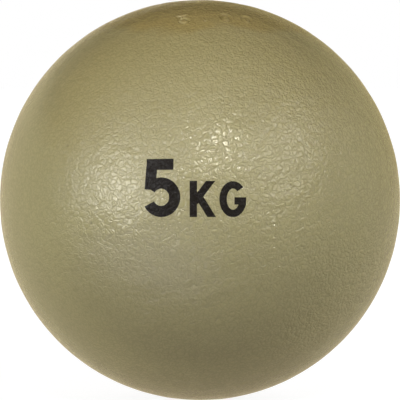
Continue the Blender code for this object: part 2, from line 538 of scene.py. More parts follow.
@dataclass(frozen=True)
class Finish:
    """What every finish has: two tones, a share of metal, and a roughness that drifts."""

    name: str
    light_tone: Colour
    dark_tone: Colour
    metallic: float
    roughness: float
    roughness_drift: float

    def start(self) -> tuple[Tree, Node, Socket]:
        """Start the material.

        Returns:
            Its tree, its Principled shader, and the socket that gives the place on the object.
        """
        material = bpy.data.materials.new(self.name)
        material.use_nodes = True
        tree = material.node_tree
        shader = tree.nodes["Principled BSDF"]
        shader.inputs["Metallic"].default_value = self.metallic
        return tree, shader, place(tree, "TexCoord").outputs["Object"]

    def tone(self, tree: Tree, share: Socket) -> Socket:
        """The two tones blended by a share, the dark one at -1 and the light one at 1."""
        share = mapped(tree, share, UNEVEN, (0.0, 1.0))
        return blend_colours(tree, share, self.dark_tone, self.light_tone)

    def feed_shader(self, tree: Tree, colour: Socket, drift: Socket, height: Socket) -> Material:
        """Feed what changes over the surface to the shader.

        Args:
            tree: the material's tree.
            colour: the base colour.
            drift: from -1 to 1, how far the roughness is off its middle.
            height: the relief in millimetres.

        Returns:
            The material.
        """
        shader = tree.nodes["Principled BSDF"]
        ends = (self.roughness - self.roughness_drift, self.roughness + self.roughness_drift)
        tree.links.new(colour, shader.inputs["Base Color"])
        tree.links.new(mapped(tree, drift, UNEVEN, ends), shader.inputs["Roughness"])
        bump = place(tree, "Bump", {"Height": height, "Strength": 1.0, "Distance": MM})
        tree.links.new(bump.outputs[0], shader.inputs["Normal"])
        return bpy.data.materials[self.name]


@dataclass(frozen=True)
class Coating(Finish):
    """A satin coat on the cast skin, which shows through it as orange peel."""

    specular: float
    lumps_per_metre: float = 800.0
    lump_height: float = 0.1
    lump_gain: tuple[float, float] = (0.38, 1.75)
    furrow_share: float = 0.6
    # Painted shade: the peel's furrows and the pits and nicks are darkened towards a share of the dark
    # tone
    furrow_shade: float = 0.17
    dent_shade: float = 0.35
    shade_darkness: float = 0.3
    unevenness: float = 0.22
    grain_share: float = 0.85
    swell_share: float = 3.2
    pits_per_metre: float = 95.0
    pit_size: float = 0.05
    pit_rarity: float = 0.9
    pit_depth: float = 0.12
    nicks: tuple[Nick, ...] = ()
    painted_dark_reflection: PaintedDarkReflection | None = None

    def dents(self, tree: Tree, where: Socket, radius: float) -> Socket:
        """Depth of the casting's own pits and of the nicks in the paint, from 0 to 1.

        Args:
            tree: the material's tree.
            where: the place on the object.
            radius: the ball's radius.

        Returns:
            The depth.
        """
        depth = pit_depths(tree, where, self.pits_per_metre, self.pit_size, self.pit_rarity)
        for nick in self.nicks:
            own = nearness(tree, where, radius * outward(nick.bearing, nick.rise), nick.size)
            depth = math_node(tree, "MAXIMUM", depth, own)
        return depth

    def gain(self, tree: Tree, where: Socket, radius: float) -> Socket:
        """How strongly the lumps stand out, which grows evenly from the ball's left to its right."""
        side = place(tree, "SeparateXYZ", {"Vector": where}).outputs["X"]
        return mapped(tree, side, (-radius, radius), self.lump_gain)

    def material(self, radius: float) -> Material:
        """Build the finish.

        Args:
            radius: radius of the ball that it is on.

        Returns:
            The material.
        """
        tree, shader, where = self.start()
        shader.inputs["Specular IOR Level"].default_value = self.specular
        patina = Effect.PATINA.add(tree, Place=where, Clouds_Per_Metre=45.0, Speckle_Per_Metre=800.0)
        uneven = math_node(tree, "ADD", patina.outputs["Clouds"], patina.outputs["Speckle"])
        tone = self.tone(tree, math_node(tree, "MULTIPLY", uneven, self.unevenness))
        # Painted reflection: a browner tone round the top stands in for the dark room that the paint
        # mirrors there
        if self.painted_dark_reflection is not None:
            covered = self.painted_dark_reflection.covered(tree, where, patina.outputs["Clouds"], radius)
            tone = blend_colours(tree, covered, tone, self.painted_dark_reflection.tone)
        peel = Effect.PEEL.add(
            tree,
            Place=where,
            Lumps_Per_Metre=self.lumps_per_metre,
            Furrow_Share=self.furrow_share,
            Grain_Share=self.grain_share,
            Swell_Share=self.swell_share,
        )
        dents = self.dents(tree, where, radius)
        # Painted shade in the furrows of the peel and in the pits and nicks
        shade_colour = tuple(self.shade_darkness * part for part in self.dark_tone)
        shade_mask = math_node(tree, "MULTIPLY", peel.outputs["Furrow"], self.furrow_shade)
        shade_mask = math_node(tree, "MAXIMUM", shade_mask, math_node(tree, "MULTIPLY", dents, self.dent_shade))
        colour = blend_colours(tree, shade_mask, tone, shade_colour)
        lumps = math_node(tree, "MULTIPLY", peel.outputs["Height"], self.lump_height)
        lumps = math_node(tree, "MULTIPLY", lumps, self.gain(tree, where, radius))
        holes = math_node(tree, "MULTIPLY", dents, self.pit_depth)
        height = math_node(tree, "SUBTRACT", lumps, holes)
        return self.feed_shader(tree, colour, patina.outputs["Clouds"], height)


ENAMEL = Coating(
    name="olive_gold_enamel",
    light_tone=(0.362, 0.335, 0.160),
    dark_tone=(0.310, 0.286, 0.137),
    metallic=0.07,
    roughness=0.18,
    roughness_drift=0.02,
    specular=0.85,
    nicks=NICKS,
    painted_dark_reflection=PaintedDarkReflection(tone=(0.326, 0.278, 0.111)),
)

INK = Coating(
    name="black_pad_ink",
    light_tone=(0.012, 0.0105, 0.008),
    dark_tone=(0.007, 0.0062, 0.005),
    metallic=0.0,
    roughness=0.22,
    roughness_drift=0.03,
    specular=0.14,
)


@dataclass(frozen=True)
class BareFinish(Finish):
    """A finish without paint: steel, lead or fibre, with stains, fine speckle and a grained skin."""

    clouds_per_metre: float
    grains_per_metre: float
    grain_height: float
    grain_share: float = 0.6
    pits_per_metre: float = 400.0
    pit_size: float = 0.0
    pit_rarity: float = 0.6
    pit_depth: float = 0.15

    def material(self) -> Material:
        """Build the finish.

        Returns:
            The material.
        """
        tree, _, where = self.start()
        grains = self.grains_per_metre
        patina = Effect.PATINA.add(
            tree, Place=where, Clouds_Per_Metre=self.clouds_per_metre, Speckle_Per_Metre=grains
        )
        tone = self.tone(tree, patina.outputs["Clouds"])
        peel = Effect.PEEL.add(tree, Place=where, Lumps_Per_Metre=grains, Grain_Share=self.grain_share)
        height = math_node(tree, "MULTIPLY", peel.outputs["Height"], self.grain_height)
        if self.pit_size:
            depth = pit_depths(tree, where, self.pits_per_metre, self.pit_size, self.pit_rarity)
            holes = math_node(tree, "MULTIPLY", depth, self.pit_depth)
            height = math_node(tree, "SUBTRACT", height, holes)
        return self.feed_shader(tree, tone, patina.outputs["Speckle"], height)


# Finishes of the CAD pieces inside the bore
BORE_FINISHES = {
    "threaded_plug": BareFinish(
        name="blackened_oiled_steel",
        light_tone=(0.075, 0.073, 0.075),
        dark_tone=(0.03, 0.029, 0.031),
        metallic=0.9,
        roughness=0.36,
        roughness_drift=0.1,
        clouds_per_metre=180.0,
        grains_per_metre=2600.0,
        grain_height=0.006,
    ),
    "packing_disc": BareFinish(
        name="red_vulcanised_fibre",
        light_tone=(0.33, 0.085, 0.055),
        dark_tone=(0.23, 0.048, 0.032),
        metallic=0.0,
        roughness=0.68,
        roughness_drift=0.07,
        clouds_per_metre=300.0,
        grains_per_metre=1900.0,
        grain_height=0.02,
    ),
    "lead_ballast": BareFinish(
        name="dull_poured_lead",
        light_tone=(0.21, 0.22, 0.24),
        dark_tone=(0.12, 0.125, 0.135),
        metallic=0.85,
        roughness=0.6,
        roughness_drift=0.1,
        clouds_per_metre=130.0,
        grains_per_metre=1200.0,
        grain_height=0.02,
        pit_size=0.3,
    ),
}


# Studio


def empty_tree(owner: Material | bpy.types.World) -> Tree:
    """Clear a node tree.

    Args:
        owner: the material or world that it belongs to.

    Returns:
        The tree, with nothing in it.
    """
    owner.use_nodes = True
    owner.node_tree.nodes.clear()
    return owner.node_tree


def new_card(name: str, middle: Spot, half_across: Spot, half_up: Spot) -> tuple[Object, Tree]:
    """Put up a card that belongs to the studio.

    Args:
        name: the card's name, and its material's.
        middle: where its middle is.
        half_across: the way from there to the middle of its right side.
        half_up: the way from there to the middle of its upper side.

    Returns:
        Its object, and its material's empty tree.
    """
    middle, across, up = np.array([middle, half_across, half_up])
    corners = [middle - across - up, middle + across - up, middle + across + up, middle - across + up]
    mesh = bpy.data.meshes.new(name)
    mesh.from_pydata(corners, [], [(0, 1, 2, 3)])
    material = bpy.data.materials.new(name)
    mesh.materials.append(material)
    card = new_object(name, mesh)
    return card, empty_tree(material)


def seen_directly(tree: Tree) -> Socket:
    """Tell the rays that see the backdrop as it is in the picture.

    Args:
        tree: the tree that asks.

    Returns:
        One for a ray from the camera, a reflection or a glass, and nothing for scattered light.
    """
    path = place(tree, "LightPath").outputs
    seen = math_node(tree, "MAXIMUM", path["Is Camera Ray"], path["Is Glossy Ray"])
    return math_node(tree, "MAXIMUM", seen, path["Is Transmission Ray"])


@dataclass(frozen=True)
class Softbox:
    """A square lamp that looks at the ball, placed by its bearing from the camera's side of the ball."""

    name: str
    bearing: float
    rise: float
    side: float
    power: float
    distance: float = 0.9
    in_reflections: bool = True

    def build(self) -> None:
        """Hang the lamp."""
        light = bpy.data.lights.new(self.name, "AREA")
        light.shape = "SQUARE"
        light.size = self.side
        light.energy = self.power
        lamp = new_object(self.name, light, outward(self.bearing, self.rise) * self.distance)
        lamp.visible_camera = False
        lamp.visible_glossy = self.in_reflections


@dataclass(frozen=True)
class Screen:
    """A tinted card between the ball and the white backdrop, which only reflections see.

    It stands for the room that the paint mirrors: walls, a dark ceiling and a pale table.
    """

    name: str
    middle: Spot
    half_across: Spot
    half_up: Spot
    colour: Colour

    @classmethod
    def wall(cls, name: str, bearing: float, distance: float, height: float, colour: Colour) -> Screen:
        """A wall that faces the ball and fills a quarter of the way round it."""
        middle, across = outward(bearing, 0.0) * distance, outward(bearing + 90.0, 0.0) * distance
        return cls(name, tuple(middle), tuple(across), (0.0, 0.0, height), colour)

    @classmethod
    def level(cls, name: str, x: Point, y: Point, height: float, colour: Colour) -> Screen:
        """A level card over a range of x and of y."""
        middle = ((x[0] + x[1]) / 2, (y[0] + y[1]) / 2, height)
        return cls(name, middle, ((x[1] - x[0]) / 2, 0.0, 0.0), (0.0, (y[1] - y[0]) / 2, 0.0), colour)

    def build(self) -> None:
        """Put up the card, which glows in its colour."""
        card, tree = new_card(self.name, self.middle, self.half_across, self.half_up)
        glow = place(tree, "Emission", {"Color": self.colour, "Strength": 1.0})
        place(tree, "OutputMaterial", {"Surface": glow.outputs[0]})
        card.visible_camera = False
        card.visible_diffuse = False
        card.visible_transmission = False
        card.visible_shadow = False


@dataclass(frozen=True)
class Studio:
    """Camera, lamps, floor and backdrop of the picture."""

    ball_radius: float
    camera_distance: float = 0.8
    camera_rise: float = 3.0
    picture_radius: float = 200.0
    ball_in_picture: float = 200.12
    floor_side: float = 12.0
    floor_tone: float = 0.2
    floor_lift: float = 0.91
    floor_lift_reach: tuple[float, float] = (0.15, 1.2)
    fill: float = 0.15
    softboxes: tuple[Softbox, ...] = (
        Softbox("left_low_softbox", -62.0, 4.0, 0.5, 1.3),
        Softbox("front_left_low_softbox", -42.0, 4.0, 0.5, 2.7),
        Softbox("front_left_softbox", -33.0, 12.0, 0.7, 1.73),
        Softbox("front_left_wide_softbox", -38.0, 12.0, 1.2, 1.1),
        Softbox("front_right_softbox", 33.0, 12.0, 0.5, 0.77),
        Softbox("front_right_low_softbox", 45.0, 14.0, 0.4, 0.7),
        Softbox("right_softbox", 58.0, 28.0, 0.4, 1.55),
        Softbox("side_softbox", 100.0, 15.0, 0.7, 0.68),
        Softbox("rear_left_softbox", -155.0, 20.0, 0.7, 2.0, in_reflections=False),
        Softbox("rear_right_softbox", 155.0, 20.0, 0.7, 2.0, in_reflections=False),
        Softbox("front_lamp", 9.0, 31.0, 0.12, 1.75),
    )
    screen_distance: float = 2.5
    screen_height: float = 1.0

    def screens(self) -> tuple[Screen, ...]:
        """The room that the paint mirrors.

        Returns:
            Four walls, the ceiling in strips from front to rear, and the table in parts.
        """
        far, top = self.screen_distance, self.screen_height
        wide = (-2 * far, 2 * far)
        table, shaded, near = (lift * MM - self.ball_radius for lift in (0.2, 0.3, 0.4))
        return (
            Screen.wall("front_left_screen", -45.0, far, top, (0.27, 0.15, 0.12)),
            Screen.wall("front_right_screen", 45.0, far, top, (0.46, 0.27, 0.08)),
            Screen.wall("rear_left_screen", -135.0, far, top, (0.83, 0.70, 0.45)),
            Screen.wall("rear_right_screen", 135.0, far, top, (0.69, 0.56, 0.28)),
            Screen.level("front_ceiling", wide, (-2 * far, -0.6), top, (0.88, 0.68, 0.62)),
            Screen.level("near_ceiling", wide, (-0.6, 0.0), top, (0.72, 0.44, 0.31)),
            Screen.level("overhead_ceiling", wide, (0.0, 1.0), top, (0.44, 0.20, 0.01)),
            Screen.level("behind_ceiling", wide, (1.0, 1.7), top, (0.12, 0.01, 0.005)),
            Screen.level("rear_ceiling", wide, (1.7, 2 * far), top, (0.02, 0.01, 0.005)),
            Screen.level("front_table", wide, (-2 * far, 0.0), table, (0.84, 0.70, 0.45)),
            Screen.level("rear_table", wide, (0.0, 2 * far), table, (0.90, 0.77, 0.50)),
            Screen.level("shaded_table", (-0.13, 0.15), (-0.20, -0.033), shaded, (0.42, 0.30, 0.27)),
            Screen.level("near_table", (-0.17, 0.005), (-0.26, -0.075), near, (0.82, 0.70, 1.00)),
        )

    def build_camera(self) -> None:
        """Aim the camera at the ball, with a lens that gives the ball its share of the picture."""
        data = bpy.data.cameras.new("camera")
        half_view = math.tan(math.asin(self.ball_radius / self.camera_distance))
        half_view *= self.picture_radius / self.ball_in_picture
        data.lens = data.sensor_width / 2 / half_view
        back = outward(0.0, self.camera_rise) * self.camera_distance
        bpy.context.scene.camera = new_object("camera", data, back)

    def build_floor(self) -> None:
        """Lay the pale floor, lifted further away from the lamps, so that it meets the backdrop."""
        half = self.floor_side / 2
        middle = (0.0, 0.0, -self.ball_radius)
        tree = new_card("studio_floor", middle, (half, 0.0, 0.0), (0.0, half, 0.0))[1]
        matt = place(tree, "BsdfDiffuse", {"Color": (self.floor_tone,) * 3})
        spot = place(tree, "TexCoord").outputs["Object"]
        away = place(tree, "VectorMath", {0: spot}, operation="LENGTH")
        lift = mapped(tree, away.outputs["Value"], self.floor_lift_reach, (self.floor_lift, 1.0))
        strength = math_node(tree, "MULTIPLY", seen_directly(tree), lift)
        glow = place(tree, "Emission", {"Color": WHITE, "Strength": strength})
        total = place(tree, "AddShader", {0: matt.outputs[0], 1: glow.outputs[0]})
        place(tree, "OutputMaterial", {"Surface": total.outputs[0]})

    def build_backdrop(self) -> None:
        """Light the ball from all round, with a backdrop that the camera and mirrors see as white."""
        world = bpy.data.worlds.new("studio")
        bpy.context.scene.world = world
        tree = empty_tree(world)
        strength = mapped(tree, seen_directly(tree), (0.0, 1.0), (self.fill, 1.0))
        sky = place(tree, "Background", {"Color": WHITE, "Strength": strength})
        place(tree, "OutputWorld", {"Surface": sky.outputs[0]})

    def build(self) -> None:
        """Set up the whole studio."""
        self.build_camera()
        self.build_floor()
        self.build_backdrop()
        screens = self.screens()
        for part in (*self.softboxes, *screens):
            part.build()
        bpy.context.scene.view_settings.view_transform = "Standard"
        LOG.info("studio: %d lamps, %d screens", len(self.softboxes), len(screens))


# Pieces


@dataclass(frozen=True)
class CastWaves:
    """Low waves that the sand mould and the paint leave on the ball."""

    count: int = 70
    shortest: float = 2.8 * MM
    longest: float = 11.0 * MM
    height: float = 0.014 * MM
    seed: int = 11

    def heights(self, points: Array) -> Array:
        """How far the surface stands out at points on the ball.

        The height is a sum of cosines, each of one length and direction in space, whose sizes grow
        with their length so that no length stands out.

        Args:
            points: points on the ball, one to a row.

        Returns:
            The height at each point.
        """
        dice = np.random.default_rng(self.seed)
        directions = unit(dice.normal(size=(self.count, 3)))
        lengths = np.geomspace(self.shortest, self.longest, self.count)
        phases = dice.uniform(0.0, 2 * np.pi, self.count)
        sizes = lengths / np.sqrt(np.mean(lengths**2))
        waves = np.cos(points @ (directions * (2 * np.pi / lengths)[:, None]).T + phases)
        return self.height * math.sqrt(2 / self.count) * (waves @ sizes)


@dataclass(frozen=True)
class Patch:
    """A flat patch laid on the ball, its middle given by bearing and rise in degrees.

    The bearing is to the right from the side that faces the camera, and the rise is above the waist.
    """

    bearing: float
    rise: float
    radius: float

    def axes(self) -> tuple[Array, Array, Array]:
        """Directions at the patch's middle: out of the ball, across the patch, and up it."""
        out, across = outward(self.bearing, self.rise), outward(self.bearing + 90.0, 0.0)
        return out, across, np.cross(out, across)

    def lay(self, flat: Array) -> Array:
        """Directions from the ball's centre of points on the patch.

        A point is turned away from the patch's middle, towards where it lies on the patch, by its
        distance over the ball's radius.

        Args:
            flat: points across and up from the patch's middle, one to a row.

        Returns:
            Their directions.
        """
        out, across, up = self.axes()
        distance = np.maximum(np.linalg.norm(flat, axis=-1, keepdims=True), 1e-9)
        aside = (flat[..., :1] * across + flat[..., 1:] * up) / distance
        angle = distance / self.radius
        return out * np.cos(angle) + aside * np.sin(angle)

    def flatten(self, directions: Array) -> Array:
        """Points across and up the patch of directions from the centre: the reverse of laying.

        Args:
            directions: directions from the ball's centre, one to a row.

        Returns:
            Their points on the patch.
        """
        out, across, up = self.axes()
        angle = np.arccos(np.clip(directions @ out, -1.0, 1.0))
        aside = np.stack([directions @ across, directions @ up], axis=-1)
        return unit(aside + 1e-12) * (angle * self.radius)[:, None]


class Cut(Enum):
    """How the end of a stroke is cut: square to it, level, or upright, with the line of the cut."""

    SQUARE = None
    LEVEL = (1.0, 0.0)
    UPRIGHT = (0.0, 1.0)


Stroke = tuple[Array, Array]


@dataclass(frozen=True)
class Bar:
    """A straight stroke between two points, in heights of the character's middle lines."""

    start: Point
    end: Point
    cuts: tuple[Cut, Cut] = (Cut.SQUARE, Cut.SQUARE)
    runs_past: tuple[bool, bool] = (False, False)

    def draw(self, height: float, weight: float) -> Stroke:
        """Draw the stroke.

        An end that runs past its point goes on until its cut is half a weight further.

        Args:
            height: height of the character's middle lines.
            weight: the stroke's thickness.

        Returns:
            Points along its middle, and the vector across it at each.
        """
        start, end = np.array(self.start) * height, np.array(self.end) * height
        along = unit(end - start)
        aside = np.array([along[1], -along[0]])
        lines = [aside if cut is Cut.SQUARE else np.array(cut.value) for cut in self.cuts]
        across = [line / (line @ aside) * weight for line in lines]
        past = [weight / 2 / abs(line @ aside) * runs for line, runs in zip(lines, self.runs_past)]
        start, end = start - along * past[0], end + along * past[1]
        steps = max(3, math.ceil(np.linalg.norm(end - start) / STROKE_STEP) + 1)
        share = np.linspace(0.0, 1.0, steps)[:, None]
        return start + share * (end - start), across[0] + share * (across[1] - across[0])


@dataclass(frozen=True)
class Bow:
    """A stroke along part of an ellipse, in heights of the character's middle lines and degrees."""

    centre: Point
    radii: Point
    start: float
    end: float

    def draw(self, height: float, weight: float) -> Stroke:
        """Draw the stroke: the centre plus the radii times the angle's cosine and sine.

        Args:
            height: height of the character's middle lines.
            weight: the stroke's thickness.

        Returns:
            Points along its middle, and the vector across it at each.
        """
        length = height * max(self.radii) * math.radians(abs(self.end - self.start))
        steps = max(9, math.ceil(length / STROKE_STEP) + 1)
        angle = np.radians(np.linspace(self.start, self.end, steps))
        radii = np.array(self.radii) * height
        turn = np.stack([np.cos(angle), np.sin(angle)], axis=-1)
        way = math.copysign(1.0, self.end - self.start)
        along = unit(np.stack([-np.sin(angle), np.cos(angle)], axis=-1) * radii * way)
        across = np.stack([along[:, 1], -along[:, 0]], axis=-1)
        return np.array(self.centre) * height + radii * turn, across * weight


@dataclass(frozen=True)
class Character:
    """A plain drawn character: its width in heights of its middle lines, and its strokes."""

    width: float
    strokes: tuple[Bar | Bow, ...]


CHARACTERS = {
    "5": Character(
        0.56,
        (
            Bar((0.07, 1.0), (0.53, 1.0), runs_past=(True, False)),
            Bar((0.07, 1.0), (0.03, 0.46), cuts=(Cut.LEVEL, Cut.SQUARE), runs_past=(True, False)),
            Bow((0.27, 0.30), (0.29, 0.30), 146.0, -152.0),
        ),
    ),
    "0": Character(0.54, (Bow((0.27, 0.5), (0.27, 0.5), 90.0, 450.0),)),
    ".": Character(0.04, (Bar((0.0, 0.0), (0.04, 0.0)),)),
    "K": Character(
        0.56,
        (
            Bar((0.0, 0.0), (0.0, 1.0), runs_past=(True, True)),
            Bar((0.0, 0.34), (0.50, 1.0), cuts=(Cut.UPRIGHT, Cut.LEVEL), runs_past=(False, True)),
            Bar((0.19, 0.59), (0.56, 0.0), cuts=(Cut.SQUARE, Cut.LEVEL), runs_past=(False, True)),
        ),
    ),
    "G": Character(
        0.68,
        (
            Bow((0.35, 0.5), (0.35, 0.5), 44.0, 342.0),
            Bar((0.685, 0.44), (0.685, 0.31)),
            Bar((0.40, 0.44), (0.685, 0.44), runs_past=(False, True)),
        ),
    ),
}

# Distance between points along a stroke
STROKE_STEP = 0.25 * MM


@dataclass(frozen=True)
class Lettering:
    """A row of characters, each drawn from its own strokes."""

    text: str
    height: float
    weight: float
    gap: float

    def places(self) -> list[float]:
        """Space the characters.

        Returns:
            How far the left side of each one's middle lines is from the left edge of the row.
        """
        left, found = self.weight / 2, []
        for letter in self.text:
            found.append(left)
            left += CHARACTERS[letter].width * (self.height - self.weight) + self.weight + self.gap
        return found

    def width(self) -> float:
        """The width of the row over its strokes."""
        last = CHARACTERS[self.text[-1]].width * (self.height - self.weight)
        return self.places()[-1] + last + self.weight / 2

    def draw(self, left: float, foot: float) -> list[Stroke]:
        """Draw the row.

        Args:
            left: where its left edge is.
            foot: where its foot is.

        Returns:
            The strokes of its characters.
        """
        row = []
        for letter, place_x in zip(self.text, self.places()):
            corner = np.array([left + place_x, foot + self.weight / 2])
            for stroke in CHARACTERS[letter].strokes:
                middle, across = stroke.draw(self.height - self.weight, self.weight)
                row.append((middle + corner, across))
        return row


@dataclass(frozen=True)
class StruckWeight:
    """The weight in kilograms, struck into the iron by hand with punches before it was painted."""

    radius: float
    rise: float = 65.4
    bearing: float = 10.1
    text: str = "5.00"
    height: float = 4.4 * MM
    groove: float = 0.34 * MM
    depth: float = 0.44 * MM
    lip: float = 0.08 * MM
    lip_distance: float = 0.72 * MM
    pitch: float = 5.7 * MM
    shake: float = 0.22 * MM
    lean: float = math.radians(3.5)
    forces: tuple[float, float] = (0.8, 1.15)
    seed: int = 4

    def half_length(self) -> float:
        """Half the length of the row."""
        return self.pitch * (len(self.text) - 1) / 2 + self.height / 2

    def patch(self) -> Patch:
        """Where on the ball the row is."""
        return Patch(self.bearing, self.rise, self.radius)

    def lines(self) -> list[tuple[Array, float]]:
        """The struck lines: each character stands a little off its place and leans, as a hand holds it.

        Returns:
            For each character its pieces of line, as start and end points, and the force of the blow.
        """
        dice = np.random.default_rng(self.seed)
        found = []
        for number, letter in enumerate(self.text):
            character = CHARACTERS[letter]
            middle_x = (number - (len(self.text) - 1) / 2) * self.pitch
            lean = dice.uniform(-self.lean, self.lean)
            turn = np.array([[math.cos(lean), math.sin(lean)], [-math.sin(lean), math.cos(lean)]])
            move = dice.uniform(-self.shake, self.shake, 2) + (middle_x, 0.0)
            force = dice.uniform(*self.forces)
            drawn = [stroke.draw(self.height, self.groove)[0] for stroke in character.strokes]
            offset = np.array([character.width * self.height / 2, self.height / 2])
            drawn = [(middle - offset) @ turn + move for middle in drawn]
            found.append((np.concatenate([np.stack([m[:-1], m[1:]], axis=1) for m in drawn]), force))
        return found

    def heights(self, directions: Array) -> Array:
        """How far the struck marks move the surface, along directions from the centre.

        Over the distance to the nearest line of a character, the groove falls as a bell, and the
        iron that it drove out stands as a lower bell beside it.

        Args:
            directions: directions from the ball's centre, one to a row.

        Returns:
            The height at each of them.
        """
        height = np.zeros(len(directions))
        patch = self.patch()
        reach = self.pitch * len(self.text) / 2 + self.height
        near = np.flatnonzero(directions @ patch.axes()[0] > math.cos(reach / self.radius))
        flat = patch.flatten(directions[near])
        for lines, force in self.lines():
            distance = line_distance(flat, lines)
            dent = -self.depth * np.exp(-((distance / self.groove) ** 2))
            rim = self.lip * np.exp(-(((distance - self.lip_distance) / self.groove) ** 2))
            height[near] += force * (dent + rim)
        return height


def line_distance(points: Array, lines: Array) -> Array:
    """Distance from points of a plane to the nearest of some pieces of line.

    The nearest point of a piece is at the share of its length that the point's shadow on it has,
    held between nothing and one.

    Args:
        points: points, one to a row.
        lines: pieces of line, each a start and an end.

    Returns:
        The distance of each point.
    """
    start, way = lines[:, 0], lines[:, 1] - lines[:, 0]
    from_start = points[:, None] - start
    share = np.clip((from_start * way).sum(-1) / (way**2).sum(-1), 0.0, 1.0)
    return np.linalg.norm(from_start - share[..., None] * way, axis=-1).min(axis=1)


@dataclass(frozen=True)
class Relief:
    """The painted surface of the ball, which stands off the true sphere a little everywhere."""

    radius: float
    seam_radius: float
    struck: StruckWeight
    waves: CastWaves = CastWaves()
    seam_depth: float = 0.12 * MM
    seam_width: float = 0.3 * MM

    def points(self, directions: Array, lift: Array | float = 0.0) -> Array:
        """Points on the surface, or raised over it.

        A point's distance from the centre is the sum of the true radius, the waves, the struck marks
        and the lift, less the furrow round the plug's putty, a bell over the distance to its circle.

        Args:
            directions: directions from the ball's centre, one to a row.
            lift: how far the points stand over the surface.

        Returns:
            The point along each direction.
        """
        from_axis = np.hypot(directions[:, 0], directions[:, 1]) * self.radius
        furrow = np.exp(-(((from_axis - self.seam_radius) / self.seam_width) ** 2))
        furrow *= directions[:, 2] > 0
        cast = self.waves.heights(directions * self.radius)
        distance = self.radius + cast + self.struck.heights(directions) - self.seam_depth * furrow
        return directions * (distance + lift)[:, None]


@dataclass(frozen=True)
class Bore:
    """The bore as it is machined. Its heights come from the pieces that the frame has in it."""

    plug_top: float
    plug_bottom: float
    lead_top: float
    lead_tip: float
    gap: float = 0.3 * MM
    spot_radius: float = 11.0 * MM
    thread_radius: float = 10.0 * MM
    pitch: float = 2.5 * MM
    crest: float = 0.3125 * MM
    ridge: float = 0.9 * MM
    flank: float = math.radians(30)
    thread_start: float = math.radians(7.5)
    key_width: float = 4.0 * MM
    key_depth: float = 1.5 * MM
    drill_half_angle: float = math.radians(59)
    row_height: float = 0.17 * MM

    @classmethod
    def in_frame(cls) -> Bore:
        """Read the heights off the frame.

        Returns:
            The bore.
        """
        plug_low, plug_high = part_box("threaded_plug")
        lead_low, lead_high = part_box("lead_ballast")
        return cls(plug_high.z, plug_low.z, lead_high.z, lead_low.z)

    @property
    def radius(self) -> float:
        """Radius of the tapping bore: the plug's core and the gap."""
        return self.thread_radius - self.ridge + self.gap

    def wall(self, turn: Array, height: float) -> Array:
        """How far the threaded wall is from the axis.

        The groove's middle rises by a pitch with each turn. Going away from it along the axis the
        wall stays a gap outside the plug's crest, comes in on a flank, and meets the bore. Below
        the plug the groove runs out over one pitch.

        Args:
            turn: angles round the axis.
            height: the height.

        Returns:
            The wall's distance at each angle.
        """
        off = height - self.plug_top - self.pitch * (turn - self.thread_start) / (2 * np.pi)
        off = np.abs((off + self.pitch / 2) % self.pitch - self.pitch / 2)
        flank = (off - self.crest / 2 - self.gap / math.cos(self.flank)) / math.tan(self.flank)
        wall = np.clip(self.thread_radius - flank, self.radius, self.thread_radius + self.gap)
        runout = np.clip((height - self.plug_bottom + self.pitch) / self.pitch, 0.0, 1.0)
        return self.radius + (wall - self.radius) * runout

    def rings(self, turn: Array) -> list[Array]:
        """Rings of the bore's surface from the drilled end up to the foot of the spot face's wall.

        Args:
            turn: angles round the axis.

        Returns:
            The rings' points.
        """
        tip = self.lead_tip - self.gap / math.sin(self.drill_half_angle)
        bottom = tip + self.radius / math.tan(self.drill_half_angle)
        key_middle = (self.lead_top + bottom) / 2
        key_radius = self.radius + self.key_depth
        low, high = key_middle - self.key_width / 2, key_middle + self.key_width / 2
        groove = [(self.radius, low), (key_radius, low), (key_radius, high), (self.radius, high)]
        groove_end = self.plug_bottom - self.pitch
        rows = math.ceil((self.plug_top - groove_end) / self.row_height) + 1
        threaded = [(self.wall(turn, z), z) for z in np.linspace(groove_end, self.plug_top, rows)]
        spot_face = [(self.spot_radius, self.plug_top)]
        tip_point = np.array([[0.0, 0.0, tip]])
        profile = [(self.radius, bottom)] + groove + threaded + spot_face
        return [tip_point] + [turned_points(turn, r, z) for r, z in profile]


